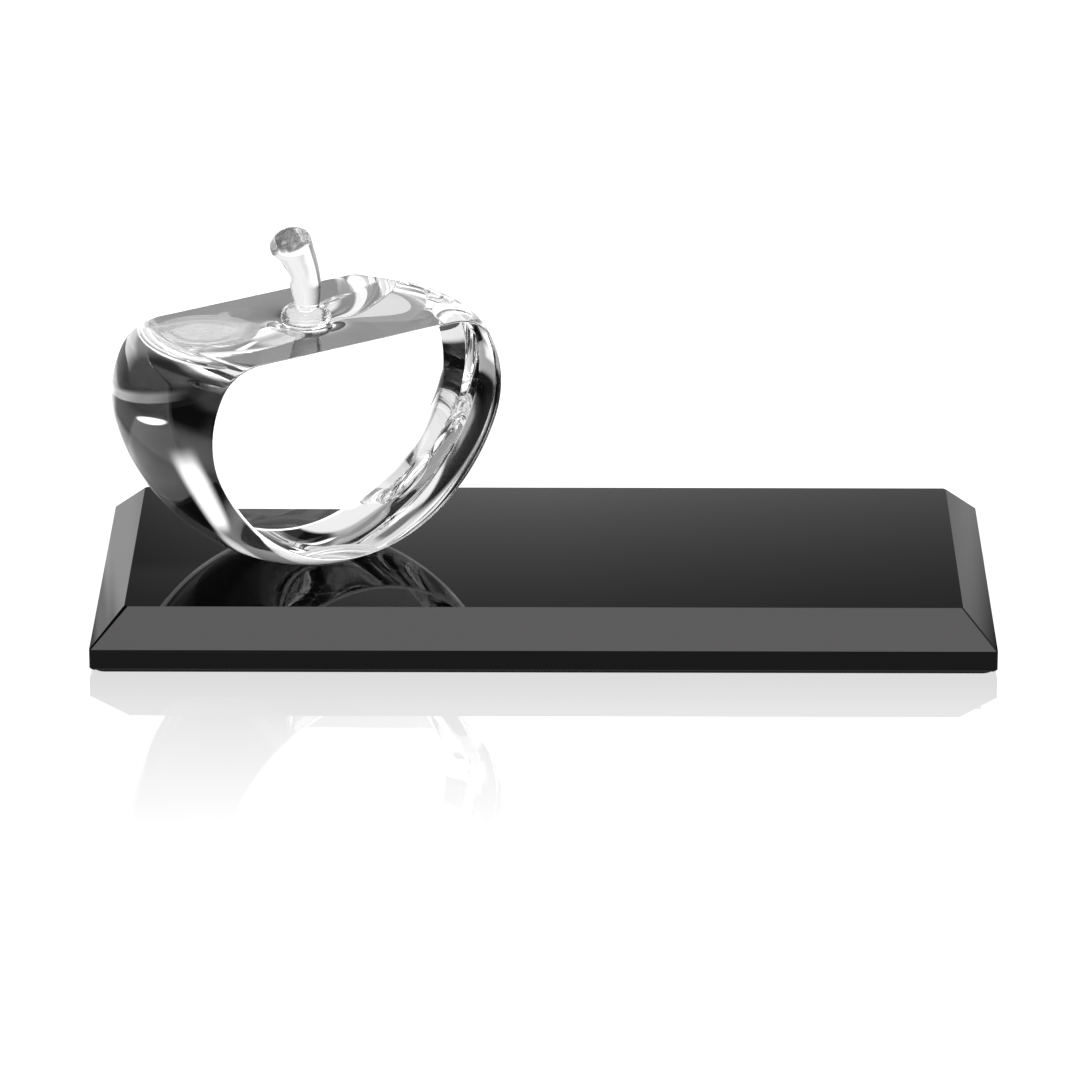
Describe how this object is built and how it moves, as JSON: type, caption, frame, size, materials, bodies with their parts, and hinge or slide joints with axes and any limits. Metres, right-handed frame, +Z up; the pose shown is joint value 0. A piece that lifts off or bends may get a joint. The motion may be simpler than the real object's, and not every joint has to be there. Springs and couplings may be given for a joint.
{
  "type": "art glass apple",
  "caption": "Solid clear glass apple, cut flat front and back, with a bent glass stem, fixed on a bevelled black glass slab; a desk ornament or paperweight.",
  "frame": {"origin": "middle of the underside, where the object stands", "axes": "+X to the right along the slab's long side, +Y to the back, +Z up"},
  "size_m": [0.25, 0.116, 0.1102],
  "materials": {
    "black_glass": "polished opaque black glass",
    "black_felt": "short dense felt",
    "clear_glass": "polished clear glass",
    "clear_bond": "clear cured film"
  },
  "bodies": {
    "root": {"base_slab": "black_glass", "base_felt": "black_felt", "apple_body": "clear_glass", "foot_bond": "clear_bond", "collar_bond": "clear_bond", "stem_collar": "clear_glass", "stem": "clear_glass"}
  },
  "joints": []
}
